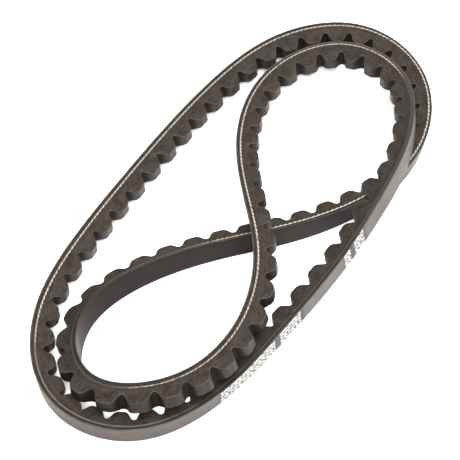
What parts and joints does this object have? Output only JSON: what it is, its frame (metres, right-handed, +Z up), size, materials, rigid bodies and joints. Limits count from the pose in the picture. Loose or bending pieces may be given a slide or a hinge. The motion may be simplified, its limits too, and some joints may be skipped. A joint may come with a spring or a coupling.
{
  "type": "cogged v-belt",
  "caption": "Raw-edge cogged V-belt lying loose on a surface, its endless loop coiled over itself twice.",
  "frame": {"origin": "on the surface the belt lies on, under the middle of its outline", "axes": "+Z up from that surface, +X along the coil's longest extent, +Y across it"},
  "size_m": [0.2068, 0.0918, 0.0208],
  "materials": {
    "cover_fabric": "satin",
    "belt_rubber": "matte",
    "cord": "matte",
    "ink": "matte"
  },
  "bodies": {
    "root": {"back_cover_fabric": "cover_fabric", "overcord_rubber": "belt_rubber", "tensile_cord": "cord", "cushion_rubber": "belt_rubber", "compression_rubber_cogs": "belt_rubber", "ink_mark_1": "ink", "ink_mark_2": "ink", "ink_mark_3": "ink", "ink_mark_4": "ink"}
  },
  "joints": []
}
